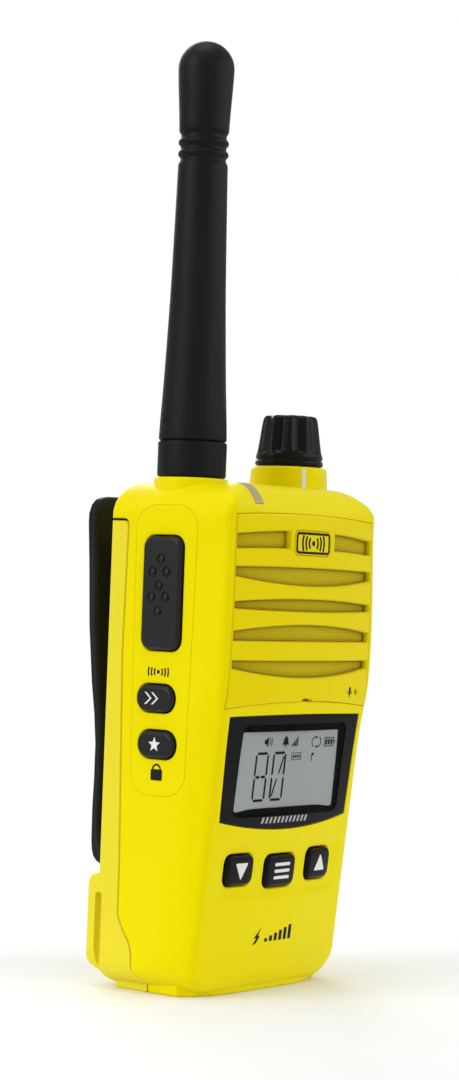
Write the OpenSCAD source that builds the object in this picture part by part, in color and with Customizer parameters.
// Handheld two-way radio: body, battery pack, belt clip, whip antenna.
// Millimetres. X runs across the front, the front face looks to -Y, +Z is up.
// The origin is the middle of the base that the radio stands on.

/* [Body] */
// Width of the body across its two sides
body_width = 58; // [57.5:0.1:58.5]
// Height of the top deck above the base
body_height = 114.5; // [114:0.1:115]
// Width of the rounding of the two top corners seen from the front
top_corner_w = 12; // [11:0.5:13]
// Height of the rounding of the two top corners
top_corner_h = 8; // [7:0.5:8.5]
// Wall thickness of the front housing
wall = 2.4; // [2.3:0.05:2.5]
// Forward bulge of the speaker area between its two creases
bulge = 2.3; // [2.0:0.1:2.6]
// Backward lean of the lower front face, degrees
lower_tilt = 6.1; // [5.5:0.1:6.5]
// Distance of the battery's back face behind the body axis
rear_y = 15; // [14.8:0.1:15.2]

/* [Grille] */
// Thickness of the snap-in speaker panel
panel_t = 1.35; // [1.2:0.05:1.4]
// Thickness of the dust cloth behind the panel
cloth_t = 0.3; // [0.2:0.05:0.35]
// Diameter of the loudspeaker
speaker_d = 36; // [32:1:36]

/* [Keys and buttons] */
// Width of a front key
key_w = 9.8; // [9:0.1:10.2]
// Height of a front key
key_h = 7.4; // [7:0.1:7.8]
// How far the front keys stand out of the face
key_proud = 0.8; // [0.4:0.1:1]
// How far the talk button stands out of the side
ptt_proud = 1.1; // [0.8:0.1:1.2]
// Gap around every key and button
gap = 0.25; // [0.2:0.05:0.3]

/* [Antenna] */
// Distance of the antenna axis to the left of the middle
ant_x = 17; // [16.5:0.1:17.5]
// Radius of the antenna's base collar
ant_r = 7.8; // [7.4:0.1:8]
// Height of the antenna's tip above the base
ant_tip = 214.7; // [208:0.1:220]

/* [Volume knob] */
// Distance of the knob axis to the right of the middle
knob_x = 16.8; // [16.5:0.1:17.2]
// Radius of the knob at its lower rim
knob_r = 8; // [7.6:0.1:8.1]
// Height of the knob
knob_h = 12; // [10.5:0.1:12.5]
// Number of grip flutes round the knob
flutes = 10; // [8:1:12]

/* [Belt clip] */
// Half width of the belt clip at its upper end
clip_hw = 22; // [20:0.5:23]
// Height of the clip's hinge pin above the base
clip_pin_z = 93; // [92.5:0.1:93.5]
// Distance of the clip's hinge pin behind the body axis
clip_pin_y = 20; // [20:0.1:20.2]

/* [Hidden] */
hw = body_width / 2;
H = body_height;
pin_r = 1.5;
ka = 66;                 // height at which the lower face starts to lean back
ky = -18.1;              // crease of the front face at that height
ant_y = 1.4;
knob_y = -0.7;
boss_top = 115.3;
knob_boss_top = 119.8;
knob_z = 120.1;
screw_x = 21.5;
screw_z = [35.6, 98.5];
// middle of each front key (x, z) and what is added to its width and height
keys = [[-15.05, 28.2, -0.9, -0.7], [-0.4, 27.3, 0.8, -0.3], [14.3, 28.1, -1, -0.4]];
$fn = 32;

// ---------- helpers ----------
function arc(cx, cy, rx, ry, a0, a1, n) =
    [for (i = [0:n]) let (a = a0 + (a1 - a0) * i / n) [cx + rx * cos(a), cy + ry * sin(a)]];
function rrpts(cx, cy, w, h, r, n = 5) = concat(
    arc(cx + w / 2 - r, cy + h / 2 - r, r, r, 0, 90, n),
    arc(cx - w / 2 + r, cy + h / 2 - r, r, r, 90, 180, n),
    arc(cx - w / 2 + r, cy - h / 2 + r, r, r, 180, 270, n),
    arc(cx + w / 2 - r, cy - h / 2 + r, r, r, 270, 360, n));
module box(x0, x1, y0, y1, z0, z1) { translate([x0, y0, z0]) cube([x1 - x0, y1 - y0, z1 - z0]); }
// a flat (x, z) shape pushed from y0 to y1
module xz(y0, y1) { translate([0, y1, 0]) rotate([90, 0, 0]) linear_extrude(y1 - y0) children(); }
// a flat (y, z) shape pushed from x0 to x1
module yz(x0, x1) { translate([x0, 0, 0]) rotate([90, 0, 90]) linear_extrude(x1 - x0) children(); }
module ycyl(x, z, r, y0, y1) { translate([x, y1, z]) rotate([90, 0, 0]) cylinder(r = r, h = y1 - y0); }
module xcyl(y, z, r, x0, x1) { translate([x0, y, z]) rotate([0, 90, 0]) cylinder(r = r, h = x1 - x0); }
module zcyl(x, y, r, z0, z1) { translate([x, y, z0]) cylinder(r = r, h = z1 - z0); }
// a tube of radius r swept along the points p
function unit(v) = v / norm(v);
function tangent(p, i) = unit(p[min(i + 1, len(p) - 1)] - p[max(i - 1, 0)]);
module sweep(p, r, up, n = 8) {
    pts = [for (i = [0:len(p) - 1]) let (t = tangent(p, i), s = unit(cross(t, up)), u = cross(s, t))
        for (k = [0:n - 1]) p[i] + r * (cos(360 * k / n) * s + sin(360 * k / n) * u)];
    m = len(p) - 1;
    polyhedron(points = pts, faces = concat(
        [[for (k = [0:n - 1]) k]],
        [for (i = [0:m - 1]) for (k = [0:n - 1])
            [i * n + k, (i + 1) * n + k, (i + 1) * n + (k + 1) % n, i * n + (k + 1) % n]],
        [[for (k = [n - 1:-1:0]) m * n + k]]), convexity = 6);
}

// ---------- the body's outer form, inset by t ----------
function front_arc(xk, sag, t, n = 8) =
    let (R = (xk * xk + sag * sag) / (2 * sag), cy = R - sag, xe = xk - 0.72 * t)
    [for (i = [-n:n]) let (x = xe * i / n) [x, cy - sqrt((R - t) * (R - t) - x * x)]];
module plan2d(xk, sag, dy, t) {
    f = front_arc(xk, sag, t);
    m = dy / (hw - xk);
    e = f[len(f) - 1];
    ye = e[1] + m * (hw + 4 - e[0]);
    polygon(concat(f, [[hw + 4, ye], [hw + 4, 60], [-hw - 4, 60], [-hw - 4, ye]]));
}
module upper_prism(t) {
    intersection() {
        translate([0, ky, ka]) rotate([1.12, 0, 0]) translate([0, 0, -12]) linear_extrude(75)
            plan2d(27.6, bulge, 7.2, t);
        box(-60, 60, -60, 60, ka - 0.2 + t, 140);
    }
}
module lower_prism(t) {
    intersection() {
        translate([0, ky, ka]) rotate([lower_tilt, 0, 0]) translate([0, 0, -90]) linear_extrude(110)
            plan2d(26.7, 1.1, 6.3, t);
        box(-60, 60, -60, 60, -30, ka + 3 + t);
    }
}
// outline seen from the front
module front2d(t) {
    a = top_corner_w;
    b = top_corner_h;
    polygon(concat(
        arc(hw - a, H - b, a - t, b - t, 0, 90, 9),
        arc(-hw + a, H - b, a - t, b - t, 90, 180, 9),
        arc(-hw + 10, 9.7, 10 - t, 9 - t, 180, 270, 7),
        [[-10, 0.45 + t], [0, 0.35 + t], [10, 0.45 + t]],
        arc(hw - 10, 9.7, 10 - t, 9 - t, 270, 360, 7)));
}
// rounding of the front edges at the deck and at the base, seen from the side
module side2d(t) {
    polygon([[40, -6], [40, H + 6], [-6, H + 6], [-6, H + 0.6 - t], [-14 + 0.2 * t, H - t],
        [-15.8 + 0.45 * t, H - 0.5 - 0.9 * t], [-17.4 + 0.65 * t, H - 1.7 - 0.75 * t], [-18.9 + 0.7 * t, H - 3.5 - 0.7 * t],
        [-20 + 0.75 * t, H - 4.9 - 0.65 * t], [-21 + 0.8 * t, H - 6.3 - 0.6 * t], [-21.6 + 0.95 * t, H - 8 - 0.3 * t],
        [-40, H - 20], [-40, 22], [-14.8 + 0.9 * t, 3 + 0.4 * t], [-13.6 + 0.7 * t, 1.2 + 0.7 * t],
        [-12 + 0.4 * t, 0.2 + t], [-12, -6]]);
}
// rounded rear edges seen from above
module rear2d(t) {
    polygon([[-40, -40], [40, -40], [40, 7], [hw + 0.6 - t, 10.8], [hw - 0.1 - t, rear_y - 2.6 - 0.2 * t],
        [hw - 1.1 - t, rear_y - 1.1 - 0.5 * t], [hw - 2.8 - 0.7 * t, rear_y - 0.2 - 0.9 * t], [hw - 5, rear_y - t],
        [-hw + 5, rear_y - t], [-hw + 2.8 + 0.7 * t, rear_y - 0.2 - 0.9 * t], [-hw + 1.1 + t, rear_y - 1.1 - 0.5 * t],
        [-hw + 0.1 + t, rear_y - 2.6 - 0.2 * t], [-hw - 0.6 + t, 10.8], [-40, 7]]);
}
module shell_form(t) {
    intersection() {
        xz(-50, 50) front2d(t);
        yz(-50, 50) side2d(t);
        translate([0, 0, -20]) linear_extrude(160) rear2d(t);
        union() { upper_prism(t); lower_prism(t); }
    }
}
// the part of the body that belongs to the battery pack, grown by g
module battery_side(g, gz) {
    yz(-50, 50) polygon([[50, 105.2 + gz], [10.6 - g, 105.2 + gz], [9.7 - g, 104.7 + gz], [9.3 - g, 103.6],
        [9.6 - g, 88], [9.8 - g, 76], [9.1 - g, 52], [8.4 - g, 29], [8.3 - g, 16.4], [6.7 - g, 13.7],
        [4.8 - g, 11], [4.1 - g, 8.5], [4 - g, 5], [2.1 - g, 3.2], [1.9 - g, 2], [1.9 - g, -10], [50, -10]]);
}
// outlines on the front face
module grille2d(c = 0) {
    polygon(concat(
        [for (i = [-6:6]) [i * (26.3 + c) / 6, 64.4 - c + 1.5 * (1 - i * i / 36)]],
        [for (i = [6:-1:-6]) [i * (25.7 + c) / 6, 107.2 + c + 0.8 * (1 - i * i / 36)]]));
}
module bezel2d(c = 0) {
    polygon(concat(
        [for (i = [-6:6]) [i * (23.4 + c) / 6, 36.9 - c + 2.4 * i * i / 36]],
        [for (i = [6:-1:-6]) [i * (24.3 + c) / 6, 62.5 + c + 0.3 * (1 - i * i / 36)]]));
}
module slot2d(x0, x1, lo0, lo1, hi0, hi1) {
    // lower and upper edges go from their end height to their middle height
    w = 25;
    polygon(concat(
        [for (i = [0:8]) let (x = x0 + (x1 - x0) * i / 8) [x, lo0 + (lo1 - lo0) * (1 - x * x / (w * w))]],
        [for (i = [8:-1:0]) let (x = x0 + (x1 - x0) * i / 8) [x, hi0 + (hi1 - hi0) * (1 - x * x / (w * w))]]));
}
module side_panel2d(c = 0) {
    polygon(concat(
        arc(1.4, 103.6, 5.4 + c, 5.2 + c, 0, 90, 5), arc(-5, 103.6, 5.6 + c, 5.2 + c, 90, 180, 5),
        arc(-4, 49.3, 5.4 + c, 5 + c, 180, 270, 5), arc(0.8, 49.3, 5.2 + c, 5 + c, 270, 360, 5)));
}
module plinth2d() { polygon([[-25.2, 11.2], [-25.2, -6.4], [-22.6, -8.6], [-17, -10.8], [-10, -11.6], [10, -11.6], [17, -10.8], [22.6, -8.6], [25.2, -6.4], [25.2, 11.2]]); }
module ptt2d(c = 0) { polygon(rrpts(-1.4, 89.2, 10.8 + 2 * c, 25.2 + 2 * c, 2.5 + c)); }
module pill2d(cy, cz, c = 0) { polygon(rrpts(cy, cz, 10.4 + 2 * c, 5.9 + 2 * c, 2.9 + c, 6)); }
module key2d(k, c = 0) { polygon(rrpts(keys[k][0], keys[k][1], key_w + keys[k][2] + 2 * c, key_h + keys[k][3] + 2 * c, 1.8 + c)); }

// ---------- housing ----------
module front_housing() color("yellow") {
    difference() {
        union() {
            difference() {
                shell_form(0);
                battery_side(0.2, 0.5);
                // hollow inside
                difference() {
                    shell_form(wall);
                    battery_side(wall, wall + 0.5);
                }
                // opening for the chassis
                box(-hw + wall, hw - wall, 0, 20, 4.2, 101.4);
            }
            // standing plinth
            intersection() { linear_extrude(3) plinth2d(); box(-30, 30, -20, 1.7, 0, 3); }
            // antenna and knob bosses
            zcyl(-ant_x, ant_y, 8.3, 109, boss_top);
            zcyl(knob_x, knob_y, 9.2, 108, knob_boss_top);
            // screw posts
            for (s = [-1, 1], z = screw_z) ycyl(s * screw_x, z, 2.6, z < 60 ? -14.6 : -17.6, 0.5);
        }
        // pocket for the speaker panel and its cloth
        intersection() { xz(-30, -14) grille2d(0.1); difference() { shell_form(-1); shell_form(panel_t + cloth_t + 0.05); } }
        ycyl(0, 84, speaker_d / 2 - 1, -30, -12);
        // pocket and hole for the display
        intersection() { xz(-30, -12) bezel2d(0.1); difference() { shell_form(-1); shell_form(1.45); } }
        box(-18.6, 18.6, -30, -11, 41.2, 59.4);
        // key holes
        xz(-30, -11) for (k = [0:2]) key2d(k, gap);
        // microphone hole
        ycyl(21, 67.8, 0.7, -30, -15);
        // side panel pocket, button pockets and holes
        intersection() { yz(-40, -20) side_panel2d(0.1); difference() { shell_form(-1); shell_form(1.05); } }
        yz(-40, -hw + 2) ptt2d(gap);
        yz(-40, -hw + 1.7) { pill2d(-0.6, 65.8, gap); pill2d(-1.3, 55.6, gap); }
        intersection() {
            yz(-40, -24.5) { ptt2d(gap); pill2d(-0.6, 65.8, gap); pill2d(-1.3, 55.6, gap); }
            box(-40, 0, -20, 0.4, 0, 120);
        }
        // antenna connector and volume control
        zcyl(-ant_x, ant_y, 6, 100, 111.1);
        zcyl(knob_x, knob_y, 6.6, 100, 111.1);
        zcyl(-ant_x, ant_y, 3.4, 100, 130);
        zcyl(knob_x, knob_y, 3.6, 100, 130);
        zcyl(knob_x, knob_y, 6.2, 116.6, 130);
        // light pipe slot
        box(-19.5, -16.3, -18.8, -13.5, 105, 130);
        // accessory jack and its cover
        yz(hw - 1.5, 40) polygon(rrpts(-2.6, 87.3, 9.7, 16.7, 2.6));
        box(20, 40, -6, 0.2, 80.4, 94.2);
        // threads of the posts
        for (s = [-1, 1], z = screw_z) ycyl(s * screw_x, z, 1.1, -12, 5);
    }
}
module side_panel() color("yellow") difference() {
    intersection() { yz(-40, -20) side_panel2d(0); difference() { shell_form(0); shell_form(1); } }
    yz(-40, -20) { ptt2d(gap); pill2d(-0.6, 65.8, gap); pill2d(-1.3, 55.6, gap); }
}
module speaker_grille() color("gold") difference() {
    intersection() { xz(-30, -14) grille2d(0); difference() { shell_form(0.02); shell_form(panel_t); } }
    xz(-30, -10) {
        slot2d(-25.2, -8.4, 99.7, 100.3, 102.9, 104.2);
        slot2d(8.8, 25.2, 99.7, 100.3, 102.9, 104.2);
        slot2d(-25.3, 25.3, 93.6, 91.9, 95.7, 96);
        slot2d(-25.3, 25.3, 86.5, 86.1, 88, 88.9);
        slot2d(-25.3, 25.3, 79.4, 79.4, 81.5, 83.1);
        slot2d(-25.3, 25.3, 73.3, 71.2, 75, 75);
    }
    ycyl(21, 67.8, 0.7, -30, -10);
    // finger notch in the lower lip
    box(-2.2, 2.2, -30, -10, 60, 66.3);
    // seat of the badge
    intersection() { xz(-30, -10) polygon(rrpts(0, 101.6, 13.4, 5.6, 1.3)); difference() { shell_form(-1); shell_form(0.6); } }
}
module grille_cloth() color("darkkhaki")
    intersection() { xz(-30, -12) grille2d(-0.6); difference() { shell_form(panel_t + 0.01); shell_form(panel_t + cloth_t); } }
module badge_plate() color("black")
    intersection() { xz(-30, -10) polygon(rrpts(0, 101.6, 13.2, 5.4, 1.2)); difference() { shell_form(-0.12); shell_form(0.58); } }
module lcd_window() color([0.06, 0.06, 0.07])
    intersection() { xz(-30, -12) bezel2d(0); difference() { shell_form(0.08); shell_form(1.4); } }
module leaning(z = 50) { translate([0, ky, ka]) rotate([lower_tilt, 0, 0]) translate([0, 0, (z - ka) / cos(lower_tilt)]) children(); }
module lcd_glass() color("lightslategray") leaning() box(-18.3, 18.3, 1, 2.6, -8.8, 8.8);
module lcd_frame() color("white") leaning() difference() {
    box(-20, 20, 2.7, 5.2, -11.6, 11.6);
    box(-17.4, 17.4, 2, 3.4, -8.2, 8.2);
}
module light_pipe() color("gainsboro") intersection() {
    union() { box(-19.4, -16.4, -18.7, -13.6, 107.6, 120); box(-19.4, -16.4, -17.4, -13.6, 106, 120); }
    difference() { shell_form(-0.05); shell_form(wall + 1.2); }
}
module status_led() color("white") box(-19.2, -16.6, -11.4, -9.55, 104.5, 106.8);
module main_board() color("darkgreen") difference() {
    xz(-9.5, -8.3) polygon([[-23, 8], [23, 8], [24, 15], [24, 107], [-24, 107], [-24, 15]]);
    for (s = [-1, 1], z = screw_z) ycyl(s * screw_x, z, 2.9, -12, -5);
}
module rf_shield() color("silver") difference() {
    box(-17, 17, -8.25, -4.8, 44, 76);
    box(-16.7, 16.7, -8.3, -5.1, 44.3, 75.7);
}
module keypad_mat() color("dimgray") difference() {
    xz(-10.05, -9.55) polygon(rrpts(0, 27.6, 44, 12, 2));
    for (s = [-1, 1]) ycyl(s * screw_x, screw_z[0], 2.9, -12, -5);
}
module side_board() color("darkgreen") box(-23.6, -22.6, -7.6, 0.2, 50, 93.5);
module side_switches() color("silver")
    for (z = [55.6, 65.8, 82.5, 91]) {
        box(-24.3, -23.6, -5.2, -1.8, z - 1.7, z + 1.7);
        xcyl(-3.5, z, 0.9, -24.65, -24.3);
    }
module speaker_basket() color("gray") translate([0, 0.3, 0]) difference() {
    union() {
        ycyl(0, 84, speaker_d / 2, -17, -15.6);
        translate([0, -15.7, 84]) rotate([-90, 0, 0]) cylinder(r1 = speaker_d / 2 - 1.5, r2 = 10, h = 2.4);
    }
    translate([0, -17.1, 84]) rotate([-90, 0, 0]) cylinder(r1 = speaker_d / 2 - 1.6, r2 = speaker_d / 2 - 2.6, h = 1.6);
    translate([0, -15.6, 84]) rotate([-90, 0, 0]) cylinder(r1 = speaker_d / 2 - 2.7, r2 = 9.4, h = 1.8);
    ycyl(0, 84, 8, -18, -12);
}
module speaker_magnet() color("dimgray") translate([0, 0.3, 0]) { ycyl(0, 84, 9.2, -13.3, -10.8); ycyl(0, 84, 7.4, -13.8, -13.2); }
module speaker_cone() color("black") translate([0, 0.3, 0]) difference() {
    translate([0, -16.6, 84]) rotate([-90, 0, 0]) cylinder(r1 = speaker_d / 2 - 2.8, r2 = 7.4, h = 2.6);
    translate([0, -16.7, 84]) rotate([-90, 0, 0]) cylinder(r1 = speaker_d / 2 - 3.2, r2 = 6.6, h = 2.2);
}
module microphone() color("silver") ycyl(21, 67.8, 2.3, -13.8, -11.4);
module mic_boot() color("dimgray") difference() {
    ycyl(21, 67.8, 2.8, -15, -11.4);
    ycyl(21, 67.8, 2.3, -13.8, -11);
    ycyl(21, 67.8, 0.7, -16, -13);
}
module volume_pot() color("steelblue") difference() {
    union() { zcyl(knob_x, knob_y, 5.4, 102.6, 111); zcyl(knob_x, knob_y, 3.5, 110.9, 119.4); }
    zcyl(knob_x, knob_y, 3.05, 104, 121);
}
module pot_nut() color("gold") difference() {
    translate([knob_x, knob_y, 116.65]) cylinder(r = 5.7, h = 2.1, $fn = 6);
    zcyl(knob_x, knob_y, 3.5, 116, 120);
}
module antenna_jack() color("goldenrod") difference() {
    union() {
        zcyl(-ant_x, ant_y, 4.4, 107.6, 111);
        zcyl(-ant_x, ant_y, 3.17, 110.9, 120.2);
    }
    zcyl(-ant_x, ant_y, 2.1, 106, 121);
}
module jack_insulator() color("white") difference() {
    zcyl(-ant_x, ant_y, 2.1, 107.2, 119.6);
    zcyl(-ant_x, ant_y, 0.65, 110, 121);
}

// ---------- chassis ----------
module rear_chassis() color([0.2, 0.2, 0.22]) difference() {
    union() {
        xz(0.6, 2.8) polygon(rrpts(0, 52.8, 53, 96.8, 3));
        difference() {
            xz(2.7, 8) polygon(rrpts(0, 57.8, 53, 86.8, 3));
            xz(2, 9) polygon(rrpts(0, 57.4, 49.6, 82.4, 0.8));
            box(-30, 30, 2.8, 9, 10, 17.2);
        }
    }
    // groove of the seal
    difference() {
        box(-40, 40, 1.2, 2, 0, 110);
        xz(1, 3) polygon(rrpts(0, 52.8, 51.8, 95.6, 2.4));
    }
    // window of the contact block
    box(-12.8, 12.8, 0, 3, 20, 28);
    // slot of the latch hook
    box(-4.6, 4.6, 0, 3, 7, 10.7);
    // slots of the battery's two upper tabs
    for (s = [-1, 1]) box(s * 15 - 4.3, s * 15 + 4.3, 0, 3, 93, 96.2);
    for (s = [-1, 1], z = screw_z) {
        ycyl(s * screw_x, z, 1.3, 0, 3);
        translate([s * screw_x, 2.85, z]) rotate([90, 0, 0]) cylinder(r1 = 2.4, r2 = 1.2, h = 1.25);
    }
}
module chassis_seal() color("black") difference() {
    xz(1.22, 1.98) polygon(rrpts(0, 52.8, 53.15, 96.95, 3));
    xz(1, 3) polygon(rrpts(0, 52.8, 51.85, 95.65, 2.4));
}
module chassis_screws() color("silver")
    for (s = [-1, 1], z = screw_z) difference() {
        union() {
            ycyl(s * screw_x, z, 1.1, -7, 2);
            translate([s * screw_x, 2.75, z]) rotate([90, 0, 0]) cylinder(r1 = 2.3, r2 = 1.1, h = 1.2);
        }
        ycyl(s * screw_x, z, 0.8, 2, 3);
    }
module contact_block() color("black") difference() {
    box(-12.6, 12.6, -1.2, 2.7, 20.2, 27.8);
    for (x = [-8, 0, 8]) box(x - 1.7, x + 1.7, -0.4, 3, 21.6, 26.6);
}
module contact_springs() color("gold")
    for (x = [-8, 0, 8]) yz(x - 1.4, x + 1.4)
        polygon([[-0.35, 21.8], [0, 21.8], [0, 25.2], [2.2, 24.4], [2.7, 23.9], [2.2, 23.3], [2.5, 23], [3.2, 23.6], [3.2, 24.2], [2.4, 24.9], [0.2, 25.9], [-0.35, 25.9]]);
module accessory_jack() color([0.15, 0.15, 0.15]) difference() {
    box(20.2, hw - 1.6, -5.8, 0, 80.6, 94);
    xcyl(-2.9, 84, 1.85, 21.5, 40);
    xcyl(-2.9, 91, 1.35, 21.5, 40);
}
module jack_cover() color([0.1, 0.1, 0.1]) union() {
    yz(hw - 1.3, hw + 0.3) polygon(rrpts(-2.6, 87.3, 9.2, 16.2, 2.4));
    yz(hw + 0.2, hw + 0.7) polygon(rrpts(0.6, 87.3, 1.6, 9, 0.7));
}

// ---------- volume knob ----------
module volume_knob() color([0.08, 0.08, 0.08]) difference() {
    translate([knob_x, knob_y, 0]) rotate_extrude($fn = 48) polygon([[0, knob_z], [knob_r - 0.3, knob_z],
        [knob_r, knob_z + 0.4], [knob_r, knob_z + 1], [knob_r - 0.3, knob_z + 1.4], [knob_r - 0.7, knob_z + 4],
        [knob_r - 1.3, knob_z + knob_h - 2], [knob_r - 1.5, knob_z + knob_h - 0.7], [knob_r - 2.1, knob_z + knob_h], [0, knob_z + knob_h]]);
    for (i = [0:flutes - 1]) let (a = 360 * (i + 0.5) / flutes)
        translate([knob_x + (knob_r + 0.9) * cos(a), knob_y + (knob_r + 0.9) * sin(a), knob_z + 1.5])
            rotate([0, 0, a]) rotate([0, -5, 0]) translate([0, 0, -0.2]) cylinder(r = 1.9, h = knob_h + 3, $fn = 20);
    zcyl(knob_x, knob_y, 3, 119, 129);
}
module pot_shaft() color("silver") zcyl(knob_x, knob_y, 3, 104.5, 129);

// ---------- side buttons ----------
module ptt_button() color([0.12, 0.12, 0.13]) {
    x0 = -hw - ptt_proud;
    difference() {
        union() {
            yz(x0, -hw + 0.9) ptt2d();
            intersection() { yz(-hw + 0.8, -hw + 2.5) ptt2d(); box(-40, 0, -20, 0.15, 0, 120); }
            intersection() { yz(-hw + 2.5, -hw + 3) ptt2d(1); box(-40, 0, -20, 0.15, 0, 120); }
            for (z = [82.5, 91]) xcyl(-3.5, z, 1, -hw + 2.9, -hw + 3.25);
        }
        // bevel on the outer edge
        difference() { yz(x0 - 1, x0 + 0.4) ptt2d(1); yz(x0 - 2, x0 + 1) ptt2d(-0.5); }
    }
    // grip dots
    for (p = [[-1.5, 96.7], [0.75, 93.9], [-3.2, 93.9], [-1.2, 90.8], [0.85, 88.3], [-3.1, 88.3], [-1, 85.1]])
        xcyl(p[0], p[1], 0.75, x0 - 0.25, x0 + 0.1);
}
module side_key(cy, cz) {
    difference() {
        union() {
            yz(-hw - 0.9, -hw + 0.8) pill2d(cy, cz);
            intersection() { yz(-hw + 0.7, -hw + 2.5) pill2d(cy, cz); box(-40, 0, -20, 0.15, 0, 120); }
            intersection() { yz(-hw + 2.5, -hw + 3) pill2d(cy, cz, 1); box(-40, 0, -20, 0.15, 0, 120); }
            xcyl(-3.5, cz, 1, -hw + 2.9, -hw + 3.55);
        }
        difference() { yz(-hw - 2, -hw - 0.5) pill2d(cy, cz, 1); yz(-hw - 3, -hw) pill2d(cy, cz, -0.5); }
    }
}
module side_key_upper() color([0.12, 0.12, 0.13]) side_key(-0.6, 65.8);
module side_key_lower() color([0.12, 0.12, 0.13]) side_key(-1.3, 55.6);

// ---------- front keys ----------
module front_key(k) {
    intersection() { xz(-30, -11.2) key2d(k); shell_form(-key_proud); }
    xz(-11.3, -10.7) key2d(k, 0.7);
}
module key_down() color([0.1, 0.1, 0.1]) front_key(0);
module key_menu() color([0.1, 0.1, 0.1]) front_key(1);
module key_up() color([0.1, 0.1, 0.1]) front_key(2);

// ---------- antenna ----------
module antenna_sheath() color([0.1, 0.1, 0.1]) translate([-ant_x, ant_y, 0]) difference() {
    rotate_extrude($fn = 48) polygon([[0, 115.5], [ant_r - 0.4, 115.5], [ant_r, 115.9], [ant_r, 123.4], [ant_r - 0.5, 123.7],
        [ant_r - 0.1, 124.1], [ant_r - 0.15, 125.3], [7.1, 136], [6.33, 156], [5.95, 172], [5.65, 186.6], [5.3, 187.4],
        [5.3, 188.4], [5.65, 188.8], [5.65, 189.6], [5.3, 190], [5.3, 191], [5.65, 191.4], [5.65, 192.2], [5.3, 192.6],
        [5.35, 193.4], [5.7, 194.4], [6.1, 201], [6.4, 208.5], [6.1, 211.2], [5.2, 213.2], [3.4, ant_tip - 0.4], [1.4, ant_tip], [0, ant_tip]]);
    translate([0, 0, 115]) cylinder(r = 6.7, h = 1.35);
    translate([0, 0, 116]) cylinder(r = 5.2, h = 12);
    translate([0, 0, 127.9]) cylinder(r = 2.6, h = 66);
}
module antenna_coil() color("peru")
    sweep([for (i = [0:60]) let (a = 360 * i / 6, z = 129.5 + i) [-ant_x + 1.9 * cos(a), ant_y + 1.9 * sin(a), z]], 0.4, [0, 0, 1], 6);
module antenna_ferrule() color("goldenrod") translate([-ant_x, ant_y, 0]) difference() {
    union() { translate([0, 0, 116.4]) cylinder(r = 5.2, h = 11.4); translate([0, 0, 127.7]) cylinder(r = 1.2, h = 1.6); }
    translate([0, 0, 116]) cylinder(r = 3.25, h = 8);
}
module antenna_washer() color("dimgray") translate([-ant_x, ant_y, 115.35]) difference() {
    cylinder(r = 6.4, h = 0.95);
    translate([0, 0, -1]) cylinder(r = 3.3, h = 3);
}

// ---------- battery pack ----------
module foot2d(t = 0) {
    polygon([[12, 25.5 - t], [15.9 - t, 25.5 - t], [17.1 - t, 24.9 - t], [17.7 - t, 23.6 - t], [17.8 - t, 22], [17.8 - t, 6.6],
        [17.3 - t, 5.2 + t], [16.3 - t, 4 + t], [14.6 - t, 3.1 + t], [12.4, 2.4 + t], [12, 3 + t]]);
}
module battery_case() color("khaki") difference() {
    union() {
        intersection() { shell_form(0); battery_side(0, 0); }
        intersection() { yz(-28.9, 28.9) foot2d(); xz(-50, 50) front2d(0.1); }
        intersection() { linear_extrude(3) plinth2d(); box(-30, 30, 2.05, 12, 0, 3); }
    }
    // hollow for the cells, opening for the tray
    box(-26.9, 26.9, 10.9, rear_y - 1.6, 8.6, 101.6);
    box(-24.5, 24.5, -5, 11, 16.4, 98.4);
    // charging guide groove on both sides of the foot
    for (s = [-1, 1]) box(s * 29 - 1.9, s * 29 + 1.9, 13.2, 15, 4.4, 21.2);
    // latch pocket and the way of its hook
    box(-8.2, 8.2, 5.2, 10.4, -1, 10.9);
    box(-4.6, 4.6, 0, 6, 6.9, 10.7);
    // seats of the charging contacts
    for (s = [-1, 1]) ycyl(s * 9, 14, 2.2, 16.2, 20);
    // threads of the clip's screws
    for (z = [86.6, 99.4]) ycyl(0, z, 1, 12, 20);
}
module battery_tray() color([0.16, 0.16, 0.17]) difference() {
    union() {
        box(-24.4, 24.4, 3.4, 10.8, 16.5, 98.3);
        // upper tabs that hold in the chassis
        for (s = [-1, 1]) box(s * 15 - 4, s * 15 + 4, 0.9, 3.5, 93.3, 95.9);
    }
    box(-23.2, 23.2, 4.6, 20, 17.7, 97.1);
    for (x = [-8, 0, 8]) box(x - 2, x + 2, 3, 3.9, 21, 27);
}
module battery_cells() color("cornflowerblue") for (z = [18.2, 58]) xz(4.7, 12.6) polygon(rrpts(0, z + 19.2, 46, 38.4, 2));
module protection_board() color("darkgreen") box(-15, 15, 11.2, 12.4, 9.4, 17.6);
module battery_contacts() color("gold") for (x = [-8, 0, 8]) box(x - 1.95, x + 1.95, 3.42, 3.88, 21.1, 26.9);
module charge_contacts() color("gold") for (s = [-1, 1]) ycyl(s * 9, 14, 2.15, 16.3, 17.65);
module battery_latch() color([0.85, 0.8, 0.2]) {
    box(-7.9, 7.9, 5.5, 10.1, 0.3, 3.4);
    difference() { box(-7.9, 7.9, 5.5, 7.1, 3.3, 9.1); box(-4, 4, 5, 8, 7.3, 8.6); }
}
module latch_hook() color("silver") yz(-4, 4)
    polygon([[7.1, 7.3], [7.1, 8.6], [-0.9, 8.6], [-0.9, 7.4], [-0.2, 5.9], [0.35, 5.9], [0.35, 7.3]]);
module latch_spring() color("silver")
    sweep([for (i = [0:48]) let (a = 360 * i / 12) [1.1 * cos(a), 8.7 + 1.1 * sin(a), 3.65 + 6.9 * i / 48]], 0.22, [0, 0, 1], 6);

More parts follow.
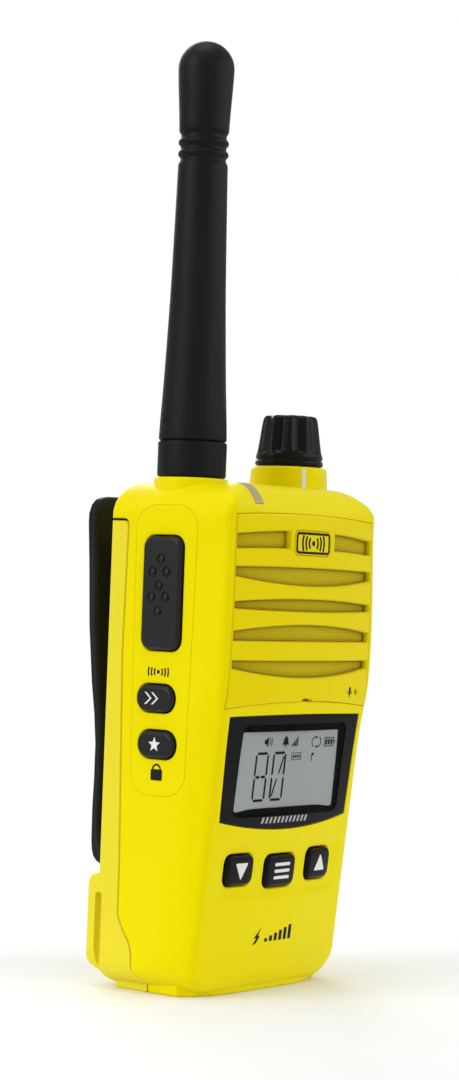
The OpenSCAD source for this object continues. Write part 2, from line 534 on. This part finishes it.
// ---------- belt clip ----------
module clip_bracket() color([0.25, 0.25, 0.26]) difference() {
    union() {
        xz(rear_y, rear_y + 1.6) polygon(rrpts(0, clip_pin_z, 25, 17, 2));
        for (s = [-1, 1]) yz(s * 10.7 - 1.5, s * 10.7 + 1.5)
            polygon(concat([[rear_y + 1, clip_pin_z - 5]], arc(clip_pin_y, clip_pin_z, 3.4, 3.4, -60, 60, 6), [[rear_y + 1, clip_pin_z + 5]]));
    }
    xcyl(clip_pin_y, clip_pin_z, pin_r, -20, 20);
    for (z = [86.6, 99.4]) ycyl(0, z, 1.2, 10, 30);
}
module clip_outline() {
    polygon(concat(arc(clip_hw - 5, 106.1, 5, 5, 0, 90, 6), arc(-clip_hw + 5, 106.1, 5, 5, 90, 180, 6),
        arc(-clip_hw + 3.8, 28.2, 2.6, 2.7, 180, 270, 6), arc(clip_hw - 3.8, 28.2, 2.6, 2.7, 270, 360, 6)));
}
module belt_clip() color([0.13, 0.13, 0.14]) difference() {
    union() {
        intersection() {
            yz(-30, 30) polygon([[27.1, 111.1], [27.9, 110.4], [28.1, 109], [28.1, 105], [27.6, 96], [27, 81], [25.8, 68],
                [24.8, 61], [24.2, 54], [24.3, 46], [24.6, 39], [24.6, 31.6], [24.1, 28.4], [22.7, 26.4], [20.6, 25.75], [18.6, 25.75], [16.3, 26.1],
                [16.1, 27.2], [16.6, 28.1], [18.4, 28.4], [20.2, 29.6], [21.4, 32], [21.9, 36], [21.9, 39], [21.7, 46], [21.6, 54],
                [22.1, 61], [23, 68], [24.1, 81], [24.7, 96], [25.2, 105], [25.3, 109.5], [25.7, 111.1]]);
            xz(0, 50) clip_outline();
        }
        // lugs round the pin
        for (s = [-1, 1]) yz(s * 7.2 - 1.6, s * 7.2 + 1.6)
            polygon(concat([[25, clip_pin_z + 4.2]], arc(clip_pin_y, clip_pin_z, 3.1, 3.1, 80, 280, 10), [[25, clip_pin_z - 4.2]]));
    }
    xcyl(clip_pin_y, clip_pin_z, pin_r + 0.06, -20, 20);
}
module clip_pin() color("silver") xcyl(clip_pin_y, clip_pin_z, pin_r, -12.2, 12.2);
module clip_spring() color("silver") {
    sweep(concat([[-4, 17.2, 88.6]], [for (i = [0:60]) let (a = 180 + 360 * i / 12) [-4 + 8 * i / 60, clip_pin_y + 2.3 * cos(a), clip_pin_z + 2.3 * sin(a)]],
        [[4, 18.6, 89.2]]), 0.4, [1, 0, 0], 6);
}
module clip_screws() color("silver") for (z = [86.6, 99.4]) difference() {
    union() { ycyl(0, z, 1, 13, rear_y + 1.7); ycyl(0, z, 1.9, rear_y + 1.6, rear_y + 2.8); }
    ycyl(0, z, 0.7, rear_y + 2.1, rear_y + 4);
}

front_housing();
side_panel();
speaker_grille();
grille_cloth();
badge_plate();
lcd_window();
lcd_glass();
lcd_frame();
light_pipe();
status_led();
main_board();
rf_shield();
keypad_mat();
side_board();
side_switches();
speaker_basket();
speaker_magnet();
speaker_cone();
microphone();
mic_boot();
volume_pot();
pot_nut();
antenna_jack();
jack_insulator();
rear_chassis();
chassis_seal();
chassis_screws();
contact_block();
contact_springs();
accessory_jack();
jack_cover();
volume_knob();
pot_shaft();
ptt_button();
side_key_upper();
side_key_lower();
key_down();
key_menu();
key_up();
antenna_sheath();
antenna_coil();
antenna_ferrule();
antenna_washer();
battery_case();
battery_tray();
battery_cells();
protection_board();
battery_contacts();
charge_contacts();
battery_latch();
latch_hook();
latch_spring();
clip_bracket();
belt_clip();
clip_pin();
clip_spring();
clip_screws();
